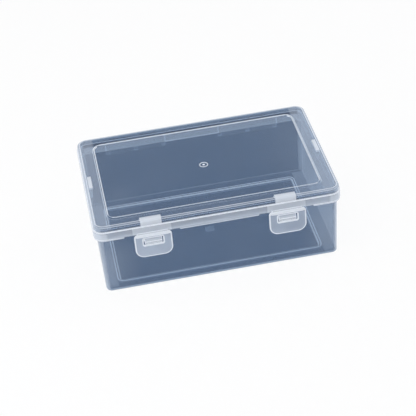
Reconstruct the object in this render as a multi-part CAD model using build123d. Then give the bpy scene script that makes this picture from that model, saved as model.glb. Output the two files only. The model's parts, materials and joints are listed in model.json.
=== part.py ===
from build123d import *
import os
from math import cos, radians, sin, tan

# A small parts box in clear polypropylene: a deep tray, a shallow cap lid on a
# clip hinge along the back, and two clip-on latches that hang from the lid's
# front and catch on the tray.
# X runs along the front, +Y to the back, +Z up, millimetres.
# The origin is on the table under the middle of the tray.

# Tray, outside sizes at the rim
TRAY_LENGTH = 162.2
TRAY_DEPTH = 108.1
TRAY_HEIGHT = 52.8
TRAY_WALL = 1.0
TRAY_FLOOR = 1.2
TRAY_CORNER = 5.4
TRAY_DRAFT = 1.5
TRAY_BOTTOM_ROUND = 1.8
FOOT_HEIGHT = 0.8
FOOT_WALL = 1.7
FOOT_CORNER = 4.0
FOOT_EDGE = 0.4

# Lid
LID_WALL = 1.1
LID_FIT = 0.3
LID_HEIGHT = 9.6
LID_HEADROOM = 1.8
LID_TOP_ROUND = 1.5
BAND_HEIGHT = 5.6
BAND_STEP = 0.7
RECESS_MARGIN_SIDE = 11.8
RECESS_MARGIN_FRONT = 11.05
RECESS_DROP = 1.0
RECESS_CORNER = 5.0
STACK_FIT = 0.5

# Flange round the tray that the lid's band closes down to
FLANGE_THICK = 1.2
FLANGE_INSET = 0.3
LID_SEAT = 0.1

# Tongues under the lid that keep the tray's walls in line
TONGUE_WIDTH = 14.0
TONGUE_THICK = 2.0
TONGUE_LENGTH = 7.3
TONGUE_TAPER = 0.5
TONGUE_FIT = 0.3

# Marks that the moulding gates leave in the middle of the lid and the floor
GATE_RING_RADIUS = 3.0
GATE_RING_WIDTH = 0.5
GATE_RING_HEIGHT = 0.2
GATE_DOT_RADIUS = 0.6
GATE_DOT_HEIGHT = 0.3

# Clip hinge: bars on the tray, hooks on the lid
HINGE_SPACING = 82.0
HINGE_WIDTH = 43.0
HINGE_STANDOFF = 2.0
HINGE_RISE = 2.4
BAR_RADIUS = 1.0
BAR_CLEARANCE = 0.05
HOOK_WALL = 0.9
HOOK_MOUTH = 80.0
HOOK_ARM = 0.9
HOOKS_PER_BAR = 2
LUG_WIDTH = 2.5
LUG_RADIUS = 1.7
LUG_SIDE_GAP = 0.25
LUG_BRACE = 3.8

# Latches, clipped on rails on the lid
LATCH_SPACING = 90.0
RAIL_RADIUS = 0.85
RAIL_CLEARANCE = 0.05
RAIL_WEB = 0.7
RAIL_RISE = 0.4
RAIL_END_GAP = 0.2
CLIP_WALL = 0.7
CLIP_WIDTH = 20.4
CLIP_GAP = 0.15
CLIP_START = 130.0
CLIP_END = 335.0
FLAP_WIDTH = 25.0
FLAP_THICK = 1.2
FLAP_FRONT = 1.1
FLAP_DROP = 17.3
FLAP_SHOULDER = 0.9
FLAP_TOP_CORNER = 2.3
FLAP_BOTTOM_CORNER = 6.0
FLAP_EDGE = 0.3
WINDOW_WIDTH = 13.0
WINDOW_TOP = 2.6
WINDOW_HEIGHT = 5.1
WINDOW_CORNER = 0.5

# Catches on the tray, one in each latch's window
CATCH_SIDE_GAP = 0.7
CATCH_UNDER_GAP = 0.25
CATCH_NOSE_BACK = 0.15
CATCH_NOSE_HEIGHT = 2.1
CATCH_RAMP_HEIGHT = 5.1
CATCH_RAMP_TURN = 1.5
CATCH_RAMP_LIFT = 1.4
CATCH_CHAMFER = 0.5
FLANGE_NOTCH_WIDTH = 37.0

# Levels above the table
lid_top = TRAY_HEIGHT + LID_HEADROOM + LID_WALL
lid_bottom = lid_top - LID_HEIGHT
band_top = lid_bottom + BAND_HEIGHT
flange_top = lid_bottom - LID_SEAT
flange_bottom = flange_top - FLANGE_THICK
floor_top = FOOT_HEIGHT + TRAY_FLOOR

# Plan sizes of the lid, which follow the tray
cap_length = TRAY_LENGTH + 2 * (LID_FIT + LID_WALL)
cap_depth = TRAY_DEPTH + 2 * (LID_FIT + LID_WALL)
cap_corner = TRAY_CORNER + LID_FIT + LID_WALL
band_length = cap_length + 2 * BAND_STEP
band_depth = cap_depth + 2 * BAND_STEP
band_corner = cap_corner + BAND_STEP
recess_length = band_length - 2 * RECESS_MARGIN_SIDE
recess_depth = band_depth - 2 * RECESS_MARGIN_FRONT

# Hinge and latch axes
hinge_y = band_depth / 2 + HINGE_STANDOFF
hinge_z = lid_bottom + HINGE_RISE
clip_radius = RAIL_RADIUS + RAIL_CLEARANCE + CLIP_WALL
pivot_y = -(band_depth / 2 + CLIP_GAP + clip_radius)
pivot_z = lid_bottom + RAIL_RISE


def wall_inset(level):
    """How far the drafted tray wall has drawn in below the rim."""
    return (TRAY_HEIGHT - level) * tan(radians(TRAY_DRAFT))


def plate(length, depth, corner, low, high):
    """A flat block with rounded upright corners."""
    outline = Plane.XY.offset(low) * RectangleRounded(length, depth, corner)
    return extrude(outline, amount=high - low)


def drafted_block(length, depth, corner, low, high, bottom_round):
    """A block whose sides draw in towards a rounded bottom edge."""
    rim = Plane.XY.offset(high) * RectangleRounded(length, depth, corner)
    block = extrude(rim, amount=high - low, dir=(0, 0, -1), taper=TRAY_DRAFT)
    bottom = block.faces().sort_by(Axis.Z)[0]
    return fillet(bottom.edges(), bottom_round)


def side_profile(points, width, x=0.0):
    """A closed outline in the YZ plane, as thick as width, centred on x."""
    outline = make_face(Polyline(*[(0, y, z) for y, z in points], close=True))
    return extrude(outline, amount=width / 2, dir=(1, 0, 0), both=True).moved(Location((x, 0, 0)))


def bar(radius, width, y, z, x=0.0):
    """A round bar along X."""
    return Location((x, y, z), (0, 90, 0)) * Cylinder(radius, width)


def sector(start, end, reach, width, y, z, x=0.0):
    """A wedge about an axis along X, from one angle to another, +Y being 0."""
    turns = max(2, int((end - start) / 30) + 1)
    arc = [start + (end - start) * i / turns for i in range(turns + 1)]
    points = [(y, z)] + [(y + reach * cos(radians(a)), z + reach * sin(radians(a))) for a in arc]
    return side_profile(points, width, x)


def latch_places():
    return (-LATCH_SPACING / 2, LATCH_SPACING / 2)


def hinge_places():
    return (-HINGE_SPACING / 2, HINGE_SPACING / 2)


def lug_offsets():
    """Lug centres along one hinge bar: one at each end and one between hooks."""
    span = HINGE_WIDTH - LUG_WIDTH
    return [span * (i / HOOKS_PER_BAR - 0.5) for i in range(HOOKS_PER_BAR + 1)]


def catch(x):
    """The ramped nose that stands through a latch's window."""
    wall_y = -(TRAY_DEPTH / 2 - wall_inset(flange_bottom) - TRAY_WALL / 2)
    nose_y = pivot_y - FLAP_FRONT + CATCH_NOSE_BACK
    under_z = pivot_z - WINDOW_TOP - WINDOW_HEIGHT + CATCH_UNDER_GAP
    nose_z = under_z + CATCH_NOSE_HEIGHT
    profile = [
        (wall_y, under_z),
        (nose_y + CATCH_CHAMFER, under_z),
        (nose_y, under_z + CATCH_CHAMFER),
        (nose_y, nose_z),
        (nose_y + CATCH_RAMP_TURN, nose_z + CATCH_RAMP_LIFT),
        (wall_y, under_z + CATCH_RAMP_HEIGHT),
    ]
    return side_profile(profile, WINDOW_WIDTH - 2 * CATCH_SIDE_GAP, x)


def hinge_lug(x):
    """An upright ear on the flange, braced down to the wall, that carries the bar."""
    wall_y = TRAY_DEPTH / 2 - wall_inset(flange_bottom) - TRAY_WALL / 2
    profile = [
        (hinge_y - LUG_RADIUS, hinge_z),
        (hinge_y - LUG_RADIUS, flange_top),
        (wall_y, flange_top),
        (wall_y, flange_bottom - LUG_BRACE),
        (hinge_y + LUG_RADIUS - FLANGE_THICK, flange_bottom),
        (hinge_y + LUG_RADIUS, flange_top),
        (hinge_y + LUG_RADIUS, hinge_z),
    ]
    return side_profile(profile, LUG_WIDTH, x) + bar(LUG_RADIUS, LUG_WIDTH, hinge_y, hinge_z, x)


def make_tray():
    foot_length = recess_length - 2 * STACK_FIT
    foot_depth = recess_depth - 2 * STACK_FIT
    shell = drafted_block(TRAY_LENGTH, TRAY_DEPTH, TRAY_CORNER, FOOT_HEIGHT, TRAY_HEIGHT, TRAY_BOTTOM_ROUND)
    foot = plate(foot_length, foot_depth, FOOT_CORNER, 0, floor_top)
    foot = chamfer(foot.faces().sort_by(Axis.Z)[0].edges(), FOOT_EDGE)

    flange_length = band_length - 2 * FLANGE_INSET
    flange_depth = band_depth - 2 * FLANGE_INSET
    flange = plate(flange_length, flange_depth, band_corner - FLANGE_INSET, flange_bottom, flange_top)
    for x in latch_places():
        notch = Box(FLANGE_NOTCH_WIDTH, band_depth - TRAY_DEPTH, 2 * FLANGE_THICK)
        flange -= Location((x, -band_depth / 2, flange_top)) * notch

    shell += foot + flange
    for x in latch_places():
        shell += catch(x)
    for place in hinge_places():
        for offset in lug_offsets():
            shell += hinge_lug(place + offset)
        shell += bar(BAR_RADIUS, HINGE_WIDTH, hinge_y, hinge_z, place)

    cavity = drafted_block(
        TRAY_LENGTH - 2 * TRAY_WALL,
        TRAY_DEPTH - 2 * TRAY_WALL,
        TRAY_CORNER - TRAY_WALL,
        floor_top,
        TRAY_HEIGHT,
        TRAY_BOTTOM_ROUND - TRAY_WALL,
    )
    pocket = plate(
        foot_length - 2 * FOOT_WALL, foot_depth - 2 * FOOT_WALL, FOOT_CORNER - FOOT_WALL, TRAY_FLOOR, floor_top
    )
    dimple = extrude(Circle(GATE_RING_RADIUS), amount=GATE_DOT_HEIGHT)
    dimple -= extrude(Circle(GATE_DOT_RADIUS), amount=GATE_DOT_HEIGHT)
    return shell - cavity - pocket - dimple


def tongue():
    """One tapered tongue, at the origin: its outer face is at y = 0 and it hangs from z = 0."""
    back = Plane.XY * Pos(0, TONGUE_THICK / 2) * Rectangle(TONGUE_WIDTH, TONGUE_THICK)
    drawn_in = TONGUE_LENGTH * tan(radians(TRAY_DRAFT))
    tip_thick = TONGUE_THICK - TONGUE_TAPER - drawn_in
    tip = Plane.XY.offset(-TONGUE_LENGTH) * Pos(0, drawn_in + tip_thick / 2)
    tip = tip * Rectangle(TONGUE_WIDTH - 2 * TONGUE_TAPER, tip_thick)
    return loft([tip, back], ruled=True)


def hinge_hooks(place):
    """The lid's hooks on one hinge bar, each between two lugs."""
    lugs = lug_offsets()
    hook_radius = BAR_RADIUS + BAR_CLEARANCE + HOOK_WALL
    arm_root = band_depth / 2 - LID_WALL / 2
    hooks = []
    for left, right in zip(lugs, lugs[1:]):
        width = right - left - LUG_WIDTH - 2 * LUG_SIDE_GAP
        x = place + (left + right) / 2
        arm = [
            (arm_root, hinge_z - HOOK_ARM),
            (hinge_y, hinge_z - HOOK_ARM),
            (hinge_y, hinge_z + hook_radius),
            (arm_root, hinge_z + hook_radius),
        ]
        hook = side_profile(arm, width, x) + bar(hook_radius, width, hinge_y, hinge_z, x)
        hook -= bar(BAR_RADIUS + BAR_CLEARANCE, width, hinge_y, hinge_z, x)
        mouth_start = 270 - HOOK_MOUTH / 2
        hook -= sector(mouth_start, mouth_start + HOOK_MOUTH, 2 * hook_radius, width, hinge_y, hinge_z, x)
        hooks.append(hook)
    return hooks


def latch_rail(x):
    """A bead on a thin web along the lid's front, which a latch clips round."""
    width = CLIP_WIDTH - 2 * RAIL_END_GAP
    web = [
        (pivot_y, pivot_z - RAIL_WEB / 2),
        (-band_depth / 2 + LID_WALL / 2, pivot_z - RAIL_WEB / 2),
        (-band_depth / 2 + LID_WALL / 2, pivot_z + RAIL_WEB / 2),
        (pivot_y, pivot_z + RAIL_WEB / 2),
    ]
    return side_profile(web, width, x) + bar(RAIL_RADIUS, width, pivot_y, pivot_z, x)


def make_lid():
    cap = plate(cap_length, cap_depth, cap_corner, lid_bottom, lid_top)
    cap = fillet(cap.faces().sort_by(Axis.Z)[-1].edges(), LID_TOP_ROUND)
    lid = cap + plate(band_length, band_depth, band_corner, lid_bottom, band_top)

    inner_length = cap_length - 2 * LID_WALL
    inner_depth = cap_depth - 2 * LID_WALL
    hollow = plate(inner_length, inner_depth, cap_corner - LID_WALL, lid_bottom, lid_top - LID_WALL)
    panel_back = plate(
        recess_length + 2 * LID_WALL,
        recess_depth + 2 * LID_WALL,
        RECESS_CORNER + LID_WALL,
        lid_top - LID_WALL - RECESS_DROP,
        lid_top,
    )
    hollow -= panel_back
    lid -= hollow
    lid -= plate(
        band_length - 2 * LID_WALL,
        band_depth - 2 * LID_WALL,
        band_corner - LID_WALL,
        lid_bottom,
        band_top - LID_WALL,
    )
    panel_top = lid_top - RECESS_DROP
    lid -= plate(recess_length, recess_depth, RECESS_CORNER, panel_top, lid_top)

    ring = Circle(GATE_RING_RADIUS) - Circle(GATE_RING_RADIUS - GATE_RING_WIDTH)
    lid += extrude(Plane.XY.offset(panel_top) * ring, amount=GATE_RING_HEIGHT)
    lid += extrude(Plane.XY.offset(panel_top) * Circle(GATE_DOT_RADIUS), amount=GATE_DOT_HEIGHT)

    root_z = lid_top - LID_WALL
    front_y = -(TRAY_DEPTH / 2 - TRAY_WALL - TONGUE_FIT)
    side_x = TRAY_LENGTH / 2 - TRAY_WALL - TONGUE_FIT
    for x in latch_places():
        lid += Location((x, front_y, root_z)) * tongue()
    lid += Location((side_x, 0, root_z), (0, 0, 90)) * tongue()
    lid += Location((-side_x, 0, root_z), (0, 0, -90)) * tongue()

    for x in latch_places():
        lid += latch_rail(x)
    for place in hinge_places():
        for hook in hinge_hooks(place):
            lid += hook
    return lid


def make_latch(x):
    """A clip round the lid's rail with a flap below it, and the window for the catch."""
    front = pivot_y - FLAP_FRONT
    top = pivot_z + FLAP_SHOULDER
    bottom = pivot_z - FLAP_DROP
    outline = Plane.XZ * Pos(0, (top + bottom) / 2) * Rectangle(FLAP_WIDTH, top - bottom)
    by_height = outline.vertices().group_by(Axis.Z)
    outline = fillet(by_height[0], FLAP_BOTTOM_CORNER)
    outline = fillet(outline.vertices().group_by(Axis.Z)[-1], FLAP_TOP_CORNER)
    window_z = pivot_z - WINDOW_TOP - WINDOW_HEIGHT / 2
    outline -= Plane.XZ * Pos(0, window_z) * RectangleRounded(WINDOW_WIDTH, WINDOW_HEIGHT, WINDOW_CORNER)
    flap = extrude(outline, amount=FLAP_THICK, dir=(0, 1, 0)).moved(Location((0, front, 0)))
    flap = chamfer(flap.faces().sort_by(Axis.Y)[0].outer_wire().edges(), FLAP_EDGE)

    clip = bar(clip_radius, CLIP_WIDTH, pivot_y, pivot_z)
    latch = flap + clip - bar(RAIL_RADIUS + RAIL_CLEARANCE, CLIP_WIDTH, pivot_y, pivot_z)
    latch -= sector(CLIP_END - 360, CLIP_START, 2 * clip_radius, CLIP_WIDTH, pivot_y, pivot_z)
    return latch.moved(Location((x, 0, 0)))


os.makedirs("parts", exist_ok=True)
left_x, right_x = latch_places()
pieces = {
    "base_tray": make_tray(),
    "hinged_lid": make_lid(),
    "left_latch": make_latch(left_x),
    "right_latch": make_latch(right_x),
}
for name, piece in pieces.items():
    export_step(piece, f"parts/{name}.step")
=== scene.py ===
import json
import math

import bmesh
import bpy
from mathutils import Matrix, Vector


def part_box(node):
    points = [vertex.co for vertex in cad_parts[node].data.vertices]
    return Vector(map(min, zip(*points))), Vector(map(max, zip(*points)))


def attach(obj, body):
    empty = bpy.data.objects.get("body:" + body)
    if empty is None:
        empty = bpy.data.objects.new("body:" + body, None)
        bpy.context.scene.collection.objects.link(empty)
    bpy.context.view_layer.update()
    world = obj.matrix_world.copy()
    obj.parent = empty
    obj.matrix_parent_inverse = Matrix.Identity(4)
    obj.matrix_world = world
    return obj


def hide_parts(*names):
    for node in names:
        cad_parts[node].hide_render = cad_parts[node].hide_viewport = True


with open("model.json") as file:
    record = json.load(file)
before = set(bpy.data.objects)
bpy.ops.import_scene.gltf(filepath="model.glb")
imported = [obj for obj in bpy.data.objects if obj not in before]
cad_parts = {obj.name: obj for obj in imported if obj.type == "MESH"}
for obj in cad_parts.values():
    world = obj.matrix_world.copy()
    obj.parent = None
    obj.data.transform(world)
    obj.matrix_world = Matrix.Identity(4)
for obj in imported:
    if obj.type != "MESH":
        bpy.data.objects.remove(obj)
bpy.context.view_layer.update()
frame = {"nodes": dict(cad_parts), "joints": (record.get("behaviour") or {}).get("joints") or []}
scene = bpy.context.scene


# The table: a plain white sheet of paper that curves up behind the box, as in a catalogue
# picture. It looks paper white, also through the clear plastic, and takes the box's shadow.
SHEET_WIDTH = 4.0
SHEET_FRONT = -1.6
SHEET_BACK = 1.4
SHEET_CURVE = 0.5
SHEET_RISE = 2.2
SHEET_LEVEL = -0.0002
SHEET_STEPS = 12
SHEET_WHITE = (0.92, 0.925, 0.935, 1.0)
SHEET_GLOW = 0.75
WHITE = (1.0, 1.0, 1.0, 1.0)


def feed(tree, sockets, values):
    """Gives each socket its value: an output is linked to it, and a plain value is written in."""
    for socket, value in zip(sockets, values):
        if isinstance(value, bpy.types.NodeSocket):
            tree.links.new(value, socket)
        else:
            socket.default_value = value


def add_node(tree, kind, **inputs):
    """A shader node with some inputs given by name, where an underscore is a space."""
    made = tree.nodes.new(kind)
    feed(tree, [made.inputs[name.replace("_", " ")] for name in inputs], inputs.values())
    return made


def new_material(name):
    """An empty node material and its tree."""
    material = bpy.data.materials.new(name)
    material.use_nodes = True
    material.node_tree.nodes.clear()
    return material, material.node_tree


def mix_shaders(tree, share, first, second):
    """A Mix Shader: share 0 is the first shader and 1 the second."""
    mixed = tree.nodes.new("ShaderNodeMixShader")
    feed(tree, mixed.inputs, (share, first, second))
    return mixed.outputs[0]


def free_maths(tree, operation, *values):
    """A Math node on outputs or plain numbers."""
    made = tree.nodes.new("ShaderNodeMath")
    made.operation = operation
    feed(tree, made.inputs, values)
    return made.outputs[0]


def maths(tree, operation, *values):
    """The same, held between 0 and 1."""
    result = free_maths(tree, operation, *values)
    result.node.use_clamp = True
    return result


def finish_material(tree, shader):
    """Links the shader to the material's output."""
    output = tree.nodes.new("ShaderNodeOutputMaterial")
    tree.links.new(shader, output.inputs["Surface"])


def seen_directly(tree):
    """1 for rays from the camera, from gloss and through glass, and 0 for the rest."""
    path = tree.nodes.new("ShaderNodeLightPath")
    seen = maths(tree, "ADD", path.outputs["Is Camera Ray"], path.outputs["Is Glossy Ray"])
    return maths(tree, "ADD", seen, path.outputs["Is Transmission Ray"])


sheet_material, tree = new_material("white_sheet")
paper = add_node(tree, "ShaderNodeBsdfDiffuse", Color=SHEET_WHITE)
glow = add_node(tree, "ShaderNodeEmission", Color=WHITE, Strength=1.0)
share = maths(tree, "MULTIPLY", seen_directly(tree), SHEET_GLOW)
finish_material(tree, mix_shaders(tree, share, paper.outputs[0], glow.outputs[0]))

profile = [(SHEET_FRONT, SHEET_LEVEL)]
for step in range(SHEET_STEPS + 1):
    angle = math.radians(90 * step / SHEET_STEPS)
    along = SHEET_BACK + SHEET_CURVE * math.sin(angle)
    profile.append((along, SHEET_LEVEL + SHEET_CURVE * (1 - math.cos(angle))))
profile.append((SHEET_BACK + SHEET_CURVE, SHEET_RISE))
points = [(side * SHEET_WIDTH / 2, y, z) for y, z in profile for side in (-1, 1)]
faces = [(2 * i, 2 * i + 1, 2 * i + 3, 2 * i + 2) for i in range(len(profile) - 1)]
sheet_mesh = bpy.data.meshes.new("white_sheet")
sheet_mesh.from_pydata(points, [], faces)
sheet_mesh.materials.append(sheet_material)
sheet_mesh.shade_smooth()
sheet = bpy.data.objects.new("white_sheet", sheet_mesh)
scene.collection.objects.link(sheet)


# The studio light: an even white room, a large soft box high on the left and a weaker one
# on the right, which draw the bright lines along the plastic's edges.
ROOM_LIGHT = 0.7
KEY_PLACE = (-0.9, -0.5, 1.5)
KEY_SIZE = 0.9
KEY_POWER = 11.0
FILL_PLACE = (1.2, 0.3, 1.1)
FILL_SIZE = 0.7
FILL_POWER = 3.5

world = bpy.data.worlds.new("white_room")
scene.world = world
world.use_nodes = True
tree = world.node_tree
tree.nodes.clear()
strength = maths(tree, "MAXIMUM", seen_directly(tree), ROOM_LIGHT)
room = add_node(tree, "ShaderNodeBackground", Color=WHITE, Strength=strength)
output = tree.nodes.new("ShaderNodeOutputWorld")
tree.links.new(room.outputs[0], output.inputs["Surface"])


def soft_box(name, place, size, power):
    """A square area lamp that faces the origin."""
    lamp = bpy.data.lights.new(name, "AREA")
    lamp.shape = "SQUARE"
    lamp.size = size
    lamp.energy = power
    holder = bpy.data.objects.new(name, lamp)
    holder.location = place
    holder.rotation_euler = (-Vector(place)).to_track_quat("-Z", "Y").to_euler()
    scene.collection.objects.link(holder)


soft_box("key_light", KEY_PLACE, KEY_SIZE, KEY_POWER)
soft_box("fill_light", FILL_PLACE, FILL_SIZE, FILL_POWER)


# The camera: a long lens a metre away, above and a little left of the front, held with a
# slight tilt, worked out from the perspective of the lid's and the tray's edges.
CAMERA_PLACE = Vector((-0.0990, -0.78675, 0.5778))
CAMERA_TARGET = Vector((-0.00164, -0.01395, 0.028))
CAMERA_TILT = -5.494
CAMERA_LENS = 119.84
SENSOR_WIDTH = 36.0
NEAREST = 0.01
FARTHEST = 20.0

lens = bpy.data.cameras.new("camera")
lens.lens = CAMERA_LENS
lens.sensor_width = SENSOR_WIDTH
lens.clip_start = NEAREST
lens.clip_end = FARTHEST
camera = bpy.data.objects.new("camera", lens)
aim = (CAMERA_TARGET - CAMERA_PLACE).to_track_quat("-Z", "Y").to_matrix()
aim = aim @ Matrix.Rotation(math.radians(CAMERA_TILT), 3, "Z")
camera.matrix_world = Matrix.Translation(CAMERA_PLACE) @ aim.to_4x4()
scene.collection.objects.link(camera)
scene.camera = camera
scene.view_settings.view_transform = "Standard"


# The tray: one moulding of clear polypropylene with a cool blue-grey tint, about a
# millimetre thick, glossy from a polished mould and slightly hazy through its depth. Its
# sharp edges have a small radius, and these rounded faces are painted whiter: a painted
# highlight that stands in for the light the edges refract, and shows as a bright line.
EDGE_RADIUS = 0.0003
SHARP_ANGLE = 35.0
SAME_POINT = 0.000002
FLAT_ANGLE = 0.4
SIDEWAYS = 0.7
ROOM_SHARE = 0.45
ROUND_STEPS = 2
FLAT_FACE_WEIGHT = 100


def rounding_weight(edge, radius):
    """The share of the radius that a sharp edge takes: less where a face beside it is narrow."""
    if len(edge.link_faces) != 2 or edge.calc_face_angle(0.0) < math.radians(SHARP_ANGLE):
        return 0.0
    along = (edge.verts[1].co - edge.verts[0].co).normalized()
    room = math.inf
    for corner in edge.verts:
        for other in corner.link_edges:
            across = (other.other_vert(corner).co - corner.co).normalized()
            if abs(along.dot(across)) < SIDEWAYS:
                room = min(room, other.calc_length())
    return min(1.0, ROOM_SHARE * room / radius)


def rounded_copy(node, name, radius):
    """A joined copy of a moulding with its sharp edges rounded, which are marked on its faces."""
    mesh = frame["nodes"][node].data.copy()
    mesh.name = name
    work = bmesh.new()
    work.from_mesh(mesh)
    bmesh.ops.remove_doubles(work, verts=work.verts, dist=SAME_POINT)
    bmesh.ops.dissolve_limit(
        work, angle_limit=math.radians(FLAT_ANGLE), verts=work.verts, edges=work.edges, delimit={"NORMAL"}
    )
    weights = work.edges.layers.float.new("bevel_weight_edge")
    for edge in work.edges:
        edge[weights] = rounding_weight(edge, radius)
    for face in work.faces:
        face.smooth = True
    work.to_mesh(mesh)
    work.free()
    while len(mesh.materials) < 2:
        mesh.materials.append(None)
    piece = bpy.data.objects.new(name, mesh)
    scene.collection.objects.link(piece)
    rounding = piece.modifiers.new("rounding", "BEVEL")
    rounding.width = radius
    rounding.segments = ROUND_STEPS
    rounding.limit_method = "WEIGHT"
    rounding.use_clamp_overlap = False
    rounding.material = 1
    flat_faces = piece.modifiers.new("flat_faces", "WEIGHTED_NORMAL")
    flat_faces.mode = "FACE_AREA"
    flat_faces.weight = FLAT_FACE_WEIGHT
    bpy.context.view_layer.update()
    evaluated = piece.evaluated_get(bpy.context.evaluated_depsgraph_get())
    finished = bpy.data.meshes.new_from_object(evaluated)
    rounded = finished.attributes.new("rounded", "FLOAT", "FACE")
    rounded.data.foreach_set("value", [float(face.material_index == 1) for face in finished.polygons])
    finished.polygons.foreach_set("material_index", [0] * len(finished.polygons))
    piece.modifiers.clear()
    piece.data = finished
    return piece


# The tray's plastic. The darker tint on the floor and on the faces that look back is
# painted shade: it stands in for the shade inside and behind the box. A line of sight
# crosses many of its surfaces.
PLASTIC_TINT = (0.63, 0.695, 0.77, 1.0)
SHADED_TINT = (0.44, 0.515, 0.612, 1.0)
LAMP_TINT = (0.95, 0.96, 0.97, 1.0)
PLASTIC_BODY = (0.30, 0.37, 0.50, 1.0)
PLASTIC_HAZE = 0.041
# The white of thicker plastic, also used for the painted highlights.
MILK_AND_HIGHLIGHT_WHITE = (0.88, 0.91, 0.97, 1.0)
EDGE_HIGHLIGHT = 0.95
CURVE_HIGHLIGHT = 0.22
FLAT_NORMAL = 0.995
CURVED_NORMAL = 0.90
GRAZING_HIGHLIGHT = 0.5
GRAZING_POWER = 4.0
WHITENING = 3.0
EVEN = 0.5
GLOSS_SHARE = 0.7
HEAD_ON_GLOSS = 0.014
GLOSS_POWER = 5.0
PLASTIC_ROUGHNESS = 0.06
CLOUD_SCALE = 26.0
CLOUD_SHARE = 0.5
CLOUD_DETAIL = 2.0
CLOUD_RANGE = (0.3, 0.7)
SHEEN_SCALE = 90.0
SHEEN_SHARE = 0.4
HAIR = 0.00005
FINE = 0.0001
CRISP = 0.0002
EASED = 0.0003
OPEN = (None, None)
CLEAR_LAYERS = 48

scene.cycles.transparent_max_bounces = CLEAR_LAYERS


def zone(strength, x=OPEN, y=OPEN, z=OPEN, soft=CRISP, one_side=False):
    """A part of a piece between walls in metres, where None is no wall, and how soft they are.
    x counts from the middle outwards, for both sides, unless one_side is set."""
    return strength, (x, y, z), soft, one_side


def about(middle, reach):
    """Two walls, as far on each side of a middle."""
    return middle - reach, middle + reach


def outline(strength, half, corner, width, middle=(0.0, 0.0), z=OPEN):
    """A line along a rounded rectangle, by its half sizes, between two levels."""
    return strength, (middle, half, corner, width), (OPEN, OPEN, z)


def zone_mask(tree, place, walls, soft, one_side):
    """1 inside a zone and 0 outside."""
    axes = list(add_node(tree, "ShaderNodeSeparateXYZ", Vector=place).outputs)
    if not one_side:
        axes[0] = free_maths(tree, "ABSOLUTE", axes[0])
    mask = 1.0
    for axis, (low, high) in zip(axes, walls):
        for wall, inwards in ((low, soft), (high, -soft)):
            if wall is not None:
                limits = {"From_Min": wall - inwards, "From_Max": wall + inwards}
                side = add_node(tree, "ShaderNodeMapRange", Value=axis, **limits)
                mask = maths(tree, "MULTIPLY", mask, side.outputs[0])
    return mask


def vector_maths(tree, operation, *values):
    """A Vector Math node on outputs or plain vectors."""
    made = tree.nodes.new("ShaderNodeVectorMath")
    made.operation = operation
    feed(tree, made.inputs, values)
    return made.outputs["Value" if operation == "LENGTH" else "Vector"]


def outline_mask(tree, place, middle, half, corner, width):
    """1 along a rounded rectangle's outline in X and Y, and 0 elsewhere."""
    centred = vector_maths(tree, "SUBTRACT", place, (middle[0], middle[1], 0.0))
    straight = (half[0] - corner, half[1] - corner, 1.0)
    past = vector_maths(tree, "SUBTRACT", vector_maths(tree, "ABSOLUTE", centred), straight)
    reach = vector_maths(tree, "LENGTH", vector_maths(tree, "MAXIMUM", past, (0.0, 0.0, 0.0)))
    axes = add_node(tree, "ShaderNodeSeparateXYZ", Vector=past).outputs
    inner = free_maths(tree, "MINIMUM", free_maths(tree, "MAXIMUM", axes[0], axes[1]), 0.0)
    off = free_maths(tree, "SUBTRACT", free_maths(tree, "ADD", reach, inner), corner)
    off = free_maths(tree, "ABSOLUTE", off)
    line = add_node(tree, "ShaderNodeMapRange", Value=off, From_Min=width / 2, From_Max=width / 4)
    return line.outputs[0]


def upright(tree, place):
    """The place on a pair's upright faces: out from the box's middle, up, and forwards."""
    axes = add_node(tree, "ShaderNodeSeparateXYZ", Vector=vector_maths(tree, "ABSOLUTE", place)).outputs
    return add_node(tree, "ShaderNodeCombineXYZ", X=axes[0], Y=axes[2], Z=axes[1]).outputs[0]


def cloudy(tree, place, scale, value, share):
    """A value that drifts up and down by a share of itself, as melt that cooled unevenly."""
    flow = add_node(tree, "ShaderNodeTexNoise", Vector=place, Scale=scale, Detail=CLOUD_DETAIL)
    drift = add_node(
        tree, "ShaderNodeMapRange", Value=flow.outputs[0], From_Min=CLOUD_RANGE[0], From_Max=CLOUD_RANGE[1],
        To_Min=value * (1 - share), To_Max=value * (1 + share),
    )
    return drift.outputs[0]


def painted_edge_highlights(tree, normal):
    """Painted highlights: whitening on the rounded edges and on the corners that curve between two flat
    faces.
    """
    axes = add_node(tree, "ShaderNodeSeparateXYZ", Vector=vector_maths(tree, "ABSOLUTE", normal)).outputs
    largest = maths(tree, "MAXIMUM", maths(tree, "MAXIMUM", axes[0], axes[1]), axes[2])
    limits = {"From_Min": FLAT_NORMAL, "From_Max": CURVED_NORMAL}
    curve = add_node(tree, "ShaderNodeMapRange", Value=largest, **limits)
    edge = tree.nodes.new("ShaderNodeAttribute")
    edge.attribute_name = "rounded"
    milk_and_highlights = maths(tree, "MULTIPLY", edge.outputs["Fac"], EDGE_HIGHLIGHT)
    return maths(tree, "MULTIPLY_ADD", curve.outputs[0], CURVE_HIGHLIGHT, milk_and_highlights)


def mix_colours(tree, share, first, second):
    """A Mix node for colours: share 0 is the first colour and 1 the second."""
    mixed = tree.nodes.new("ShaderNodeMix")
    mixed.data_type = "RGBA"
    colours = [socket for socket in mixed.inputs if socket.type == "RGBA"]
    feed(tree, (mixed.inputs[0], *colours), (share, first, second))
    return next(socket for socket in mixed.outputs if socket.type == "RGBA")


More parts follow.
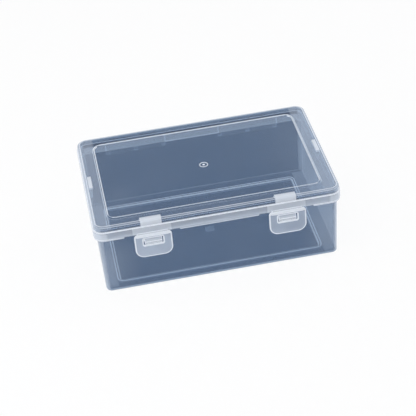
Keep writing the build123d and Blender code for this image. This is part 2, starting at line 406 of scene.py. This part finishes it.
def clear_plastic(
    name, tint, milk_and_highlight_zones, highlight_lines=(), shaded_zones=(), face_on=False,
    body=PLASTIC_BODY, haze=PLASTIC_HAZE, roughness=PLASTIC_ROUGHNESS,
):
    """Plastic whose surfaces each pass a tint, scatter a little and mirror the room. They
    scatter more in the zones, which are thicker plastic or painted highlights and reflections,
    and are whitened as painted highlights at rounded edges, along the lines and where they
    turn away; in the shaded zones the painted highlights of their edges fade as painted
    shade. The lines lie flat, or face_on on upright faces."""
    material, tree = new_material(name)
    texture_place = tree.nodes.new("ShaderNodeTexCoord")
    place = texture_place.outputs["Object"]
    facing = add_node(tree, "ShaderNodeLayerWeight", Blend=EVEN).outputs["Facing"]
    grazing = maths(tree, "POWER", facing, GRAZING_POWER)
    milk_and_highlights = painted_edge_highlights(tree, texture_place.outputs["Normal"])
    for strength, *where in shaded_zones:
        kept = maths(tree, "MULTIPLY_ADD", zone_mask(tree, place, *where), -strength, 1.0)
        milk_and_highlights = maths(tree, "MULTIPLY", milk_and_highlights, kept)
        grazing = maths(tree, "MULTIPLY", grazing, kept)
    for strength, *where in milk_and_highlight_zones:
        added = maths(tree, "MULTIPLY", zone_mask(tree, place, *where), strength)
        milk_and_highlights = maths(tree, "MAXIMUM", milk_and_highlights, added)
    line_place = upright(tree, place) if face_on else place
    for strength, shape, walls in highlight_lines:
        line = maths(tree, "MULTIPLY", outline_mask(tree, line_place, *shape), strength)
        line = maths(tree, "MULTIPLY", line, zone_mask(tree, place, walls, HAIR, False))
        milk_and_highlights = maths(tree, "MAXIMUM", milk_and_highlights, line)
    drift = cloudy(tree, place, CLOUD_SCALE, haze, CLOUD_SHARE)
    # Where a surface turns away it is whitened too: a painted highlight for the room it mirrors at a
    # grazing angle.
    amount = maths(tree, "ADD", maths(tree, "MULTIPLY_ADD", grazing, GRAZING_HIGHLIGHT, drift), milk_and_highlights)
    whiteness = maths(tree, "MULTIPLY_ADD", milk_and_highlights, WHITENING, grazing)
    colour = mix_colours(tree, whiteness, body, MILK_AND_HIGHLIGHT_WHITE)
    through = add_node(tree, "ShaderNodeBsdfTransparent", Color=tint).outputs[0]
    scattered = add_node(tree, "ShaderNodeBsdfDiffuse", Color=colour).outputs[0]
    glowing = add_node(tree, "ShaderNodeBsdfTranslucent", Color=colour).outputs[0]
    plastic = mix_shaders(tree, amount, through, mix_shaders(tree, EVEN, scattered, glowing))
    mirror = maths(tree, "POWER", facing, GLOSS_POWER)
    mirror = maths(tree, "MULTIPLY_ADD", mirror, 1 - HEAD_ON_GLOSS, HEAD_ON_GLOSS)
    mirror = maths(tree, "MULTIPLY", mirror, GLOSS_SHARE)
    sheen = cloudy(tree, place, SHEEN_SCALE, roughness, SHEEN_SHARE)
    gloss = add_node(tree, "ShaderNodeBsdfGlossy", Color=WHITE, Roughness=sheen).outputs[0]
    plastic = mix_shaders(tree, mirror, plastic, gloss)
    path = tree.nodes.new("ShaderNodeLightPath")
    soft_light = maths(tree, "MAXIMUM", path.outputs["Is Shadow Ray"], path.outputs["Is Diffuse Ray"])
    lamp_side = add_node(tree, "ShaderNodeBsdfTransparent", Color=LAMP_TINT).outputs[0]
    finish_material(tree, mix_shaders(tree, soft_light, plastic, lamp_side))
    return material


def dress(node, name, body, material, radius):
    """A rounded copy stands for the moulding, moves with its body and takes its finish."""
    piece = rounded_copy(node, name, radius)
    piece.data.materials.clear()
    piece.data.materials.append(material)
    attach(piece, body)
    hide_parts(node)
    return piece


# The tray's thicker and milkier parts: the flange and the rim that the lid covers, the back
# with its two hinge bars, the ends, the catches under the latches, and under the floor the
# gate mark. The foot's outline under the floor is painted as two bright lines: painted
# highlights.
FLANGE = (0.0446, 0.0464)
FLANGE_MILK = 0.55
RIM_MILK = 0.10
BACK_RIM = (0.0520, 0.0545)
BACK_RIM_LEVELS = (FLANGE[0], 0.0500)
BACK_RIM_MILK = 0.6
HINGE_ENDS = (0.0195, 0.0625)
HINGE_FRONT = 0.0535
HINGE_LEVELS = (0.040, 0.053)
HINGE_MILK = 0.35
SEAM_LEVELS = (0.0444, 0.0454)
SEAM_REACH = 0.0005
SEAM_MILK = 1.0
FRONT_WALL = -0.0480
FRONT_HAZE = 0.040
END_WALL = 0.0709
END_HALF = 0.0495
END_SOFT = 0.0006
END_MILK = 0.26
END_HAZE_START = 0.060
END_HAZE_LEVELS = (-0.001, FLANGE[0])
END_HAZE_SOFT = 0.014
END_HAZE = 0.145
SIDE_RIM = 0.0785
SIDE_RIM_MILK = 0.4
SIDE_RIM_TOP = 0.0518
SIDE_TOP_MILK = 0.9
CATCH_REACH = 0.0062
CATCH_BACK = -0.0530
CATCH_LEVELS = (0.0380, FLANGE[0])
CATCH_MILK = 0.45
GATE_REACH = 0.0032
GATE_TOP = 0.0006
GATE_MILK = 0.6
FOOT_OUTER = ((0.0708, 0.0445), 0.0040)
FOOT_INNER = ((0.0692, 0.0429), 0.0023)
FOOT_LINE = 0.0011
FOOT_TOP = 0.00205
FOOT_HIGHLIGHT = 0.95
FLOOR_LEVEL = 0.0022
BACK_WALL = 0.0450
FACES_BACK = 0.85

joint_places = {joint["name"]: joint["pos_m"] for joint in frame["joints"]}
latch_x, _, latch_z = joint_places["right_latch_hinge"]
gate_mark = {"x": (None, GATE_REACH), "y": about(0.0, GATE_REACH)}
tray_zones = [
    zone(FLANGE_MILK, z=FLANGE),
    zone(RIM_MILK, z=(FLANGE[1], None)),
    zone(BACK_RIM_MILK, y=BACK_RIM, z=BACK_RIM_LEVELS, soft=EASED),
    zone(HINGE_MILK, x=HINGE_ENDS, y=(HINGE_FRONT, None), z=HINGE_LEVELS, soft=EASED),
    zone(SEAM_MILK, x=(None, HINGE_ENDS[0]), y=BACK_RIM, z=SEAM_LEVELS, soft=FINE),
    zone(FRONT_HAZE, y=(None, FRONT_WALL), z=(None, FLANGE[0])),
    zone(END_MILK, x=(END_WALL, None), y=about(0.0, END_HALF), z=(None, FLANGE[0]), soft=END_SOFT),
    zone(END_HAZE, x=(END_HAZE_START, None), z=END_HAZE_LEVELS, soft=END_HAZE_SOFT),
    zone(SIDE_RIM_MILK, x=(SIDE_RIM, None), z=(FLANGE[0], None), soft=EASED),
    zone(SIDE_TOP_MILK, x=(SIDE_RIM, None), z=(SIDE_RIM_TOP, None)),
    zone(CATCH_MILK, x=about(latch_x, CATCH_REACH), y=(None, CATCH_BACK), z=CATCH_LEVELS),
    zone(GATE_MILK, **gate_mark, z=(None, GATE_TOP), soft=FINE),
]
for x in HINGE_ENDS:
    tray_zones.append(
        zone(SEAM_MILK, x=about(x, SEAM_REACH), y=(BACK_RIM[0], None), z=BACK_RIM_LEVELS, soft=FINE)
    )
foot_highlights = [
    outline(FOOT_HIGHLIGHT, half, corner, FOOT_LINE, z=(None, FOOT_TOP))
    for half, corner in (FOOT_OUTER, FOOT_INNER)
]


def looks_back(face, start):
    """True for a face behind a depth that looks forwards or backwards."""
    return face.center.y > start and abs(face.normal.y) > FACES_BACK


tray_plastic = clear_plastic("clear_tray", PLASTIC_TINT, tray_zones, foot_highlights)
tray = dress("base_tray", "tray_moulding", "tray", tray_plastic, EDGE_RADIUS)
tray.data.materials.append(clear_plastic("clear_tray_deep", SHADED_TINT, tray_zones, foot_highlights))
# The floor and the faces that look back take the darker tint, which is painted shade.
for face in tray.data.polygons:
    in_floor = all(tray.data.vertices[corner].co.z < FLOOR_LEVEL for corner in face.vertices)
    if in_floor or looks_back(face, BACK_WALL):
        face.material_index = 1


# The lid: a second moulding of the same plastic, with its band, tongues, latch rails and
# hinge hooks thicker and so milkier than its flat top, which has a recess for a like box's
# foot and a ring and dot where the melt came in. Its back edges catch little light.
BAND_TOP = 0.0520
BAND_MILK = 0.30
BACK_SKIRT = 0.0545
BACK_BAND_MILK = 0.03
BAND_CORNER = (0.0735, -0.0480)
BAND_CORNER_SOFT = 0.002
BAND_CORNER_HIGHLIGHT = 0.5
RAIL_REACH = 0.0130
RAIL_BACK = -0.0555
RAIL_MILK = 0.5
TONGUE_HALF = 0.0070
TONGUE_BOTTOM = 0.0470
TONGUE_MILK = 0.6
TONGUE_ROOT = (-0.0560, -0.0507)
TONGUE_ROOT_BOTTOM = 0.0517
TONGUE_FACE = (-0.0530, -0.0505)
TONGUE_FACE_TOP = 0.0548
SIDE_TONGUE = 0.0788
SIDE_TONGUE_REACH = 0.0013
RECESS_HALF = (0.0714, 0.0451)
SIDE_MARGIN_MILK = 0.16
FRONT_MARGIN_MILK = 0.06
TOP_PANEL = (0.0530, 0.0560)
LEFT_REFLECTION = ((-0.0714, -0.0480), (-0.0451, -0.0100))
LEFT_REFLECTION_SOFT = 0.009
LEFT_REFLECTION_STRENGTH = 0.12
RIGHT_REFLECTION = ((0.0440, 0.0800), (-0.0451, 0.0451))
RIGHT_REFLECTION_SOFT = 0.012
RIGHT_REFLECTION_STRENGTH = 0.11
GATE_RING_BOTTOM = 0.05475
GATE_DOT = 0.0008
GATE_DOT_BOTTOM = 0.0540
GATE_DOT_MILK = 0.9
RECESS_LINE_END = 0.0690
RECESS_FRONT = (-0.0457, -0.0447)
RECESS_FRONT_BOTTOM = 0.0550
RECESS_FRONT_HIGHLIGHT = 0.75
RECESS_BACK = (0.0440, 0.0462)
RECESS_BACK_TOP = 0.05535
RECESS_BACK_SHADE = 0.85
RECESS_RIGHT = (0.0700, 0.0725)
RECESS_RIGHT_HALF = 0.0440
RECESS_RIGHT_SHADE = 0.35
BACK_EDGE = (0.0535, 0.0570)
BACK_EDGE_END = 0.0790
BACK_EDGE_BOTTOM = 0.0465
BACK_EDGE_SHADE = 1.0
RIM_LINE = ((0.0809, 0.0539), 0.0053)
RIM_LINE_WIDTH = 0.0009
RIM_LINE_BOTTOM = 0.05525
RIM_LINE_HIGHLIGHT = 0.65

lid_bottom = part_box("hinged_lid")[0].z
band_corner = {"x": (BAND_CORNER[0], None), "y": (None, BAND_CORNER[1])}
corner_levels = (lid_bottom - BAND_CORNER_SOFT / 2, BAND_TOP)
at_tongue = about(latch_x, TONGUE_HALF)
side_tongue = about(SIDE_TONGUE, SIDE_TONGUE_REACH)
in_band = (None, BAND_TOP)
on_top = (BAND_TOP, None)
recess_line = (None, RECESS_LINE_END)
lid_zones = [
    zone(BAND_MILK, y=(None, BACK_SKIRT), z=in_band),
    zone(BACK_BAND_MILK, y=(BACK_SKIRT, None), z=in_band),
    # The band's two front corners are whitened: a painted highlight.
    zone(BAND_CORNER_HIGHLIGHT, **band_corner, z=corner_levels, soft=BAND_CORNER_SOFT),
    zone(RAIL_MILK, x=about(latch_x, RAIL_REACH), y=(None, RAIL_BACK), z=(lid_bottom, BAND_TOP)),
    zone(TONGUE_MILK, x=at_tongue, y=TONGUE_ROOT, z=(TONGUE_ROOT_BOTTOM, None)),
    zone(TONGUE_MILK, x=at_tongue, y=TONGUE_FACE, z=(TONGUE_BOTTOM, TONGUE_FACE_TOP)),
    zone(TONGUE_MILK, x=side_tongue, y=about(0.0, TONGUE_HALF), z=(TONGUE_BOTTOM, None)),
    zone(SIDE_MARGIN_MILK, x=(RECESS_HALF[0], None), z=on_top),
    zone(FRONT_MARGIN_MILK, y=(None, -RECESS_HALF[1]), z=on_top),
    # Two soft pale patches on the top panel, at the front left and on the right: painted reflections.
    zone(LEFT_REFLECTION_STRENGTH, *LEFT_REFLECTION, z=TOP_PANEL, soft=LEFT_REFLECTION_SOFT, one_side=True),
    zone(RIGHT_REFLECTION_STRENGTH, *RIGHT_REFLECTION, z=TOP_PANEL, soft=RIGHT_REFLECTION_SOFT, one_side=True),
    zone(GATE_MILK, **gate_mark, z=(GATE_RING_BOTTOM, None), soft=HAIR),
    zone(GATE_DOT_MILK, x=(None, GATE_DOT), y=about(0.0, GATE_DOT), z=(GATE_DOT_BOTTOM, None), soft=FINE),
    # The recess's front edge is whitened as a line: a painted highlight.
    zone(RECESS_FRONT_HIGHLIGHT, x=recess_line, y=RECESS_FRONT, z=(RECESS_FRONT_BOTTOM, None), soft=FINE),
]
# The painted highlights of the recess's back and right edges and of the lid's back edges fade here: painted
# shade.
shaded_edges = [
    zone(RECESS_BACK_SHADE, x=recess_line, y=RECESS_BACK, z=(TOP_PANEL[0], RECESS_BACK_TOP), soft=FINE),
    zone(BACK_EDGE_SHADE, x=(None, BACK_EDGE_END), y=BACK_EDGE, z=(BACK_EDGE_BOTTOM, None), soft=EASED),
    zone(RECESS_RIGHT_SHADE, x=RECESS_RIGHT, y=about(0.0, RECESS_RIGHT_HALF), z=TOP_PANEL, one_side=True),
]
# A bright line round the top's outer edge: a painted highlight.
rim_highlights = [outline(RIM_LINE_HIGHLIGHT, *RIM_LINE, RIM_LINE_WIDTH, z=(RIM_LINE_BOTTOM, None))]

lid_plastic = clear_plastic("clear_lid", PLASTIC_TINT, lid_zones, rim_highlights, shaded_edges)
lid = dress("hinged_lid", "lid_moulding", "lid", lid_plastic, EDGE_RADIUS)
lid.data.materials.append(clear_plastic("clear_lid_deep", SHADED_TINT, lid_zones, rim_highlights, shaded_edges))
# The lid's faces that look back take the darker tint, which is painted shade.
for face in lid.data.polygons:
    if looks_back(face, BACK_SKIRT):
        face.material_index = 1


# The latches: two small mouldings of uncoloured, milky polypropylene, clipped on the lid's
# rails, with a window that snaps over the tray's catch. The edges of each flap and of its
# window are painted with bright lines: painted highlights.
LATCH_TINT = (0.80, 0.84, 0.90, 1.0)
LATCH_BODY = (0.55, 0.62, 0.74, 1.0)
LATCH_EDGE = 0.0005
LATCH_HAZE = 0.49
LATCH_ROUGHNESS = 0.2
CLIP_DROP = 0.0010
CLIP_MILK = 0.75
LINE_HIGHLIGHT = 0.95
LINE_WIDTH = 0.0011
FLAP_LINE = ((0.0121, 0.0141), 0.0056)
FLAP_DROP = 0.00285
WINDOW_LINE = ((0.0069, 0.00295), 0.0009)
WINDOW_DROP = 0.00515

clip_zones = [zone(CLIP_MILK, z=(latch_z - CLIP_DROP, None))]
latch_highlights = [
    outline(LINE_HIGHLIGHT, *shape, LINE_WIDTH, middle=(latch_x, latch_z - drop))
    for shape, drop in ((FLAP_LINE, FLAP_DROP), (WINDOW_LINE, WINDOW_DROP))
]
latch_plastic = clear_plastic(
    "milky_latch", LATCH_TINT, clip_zones, latch_highlights,
    face_on=True, body=LATCH_BODY, haze=LATCH_HAZE, roughness=LATCH_ROUGHNESS,
)
for side in ("left", "right"):
    moulding = side + "_latch_moulding"
    dress(side + "_latch", moulding, "latch_" + side, latch_plastic, LATCH_EDGE)
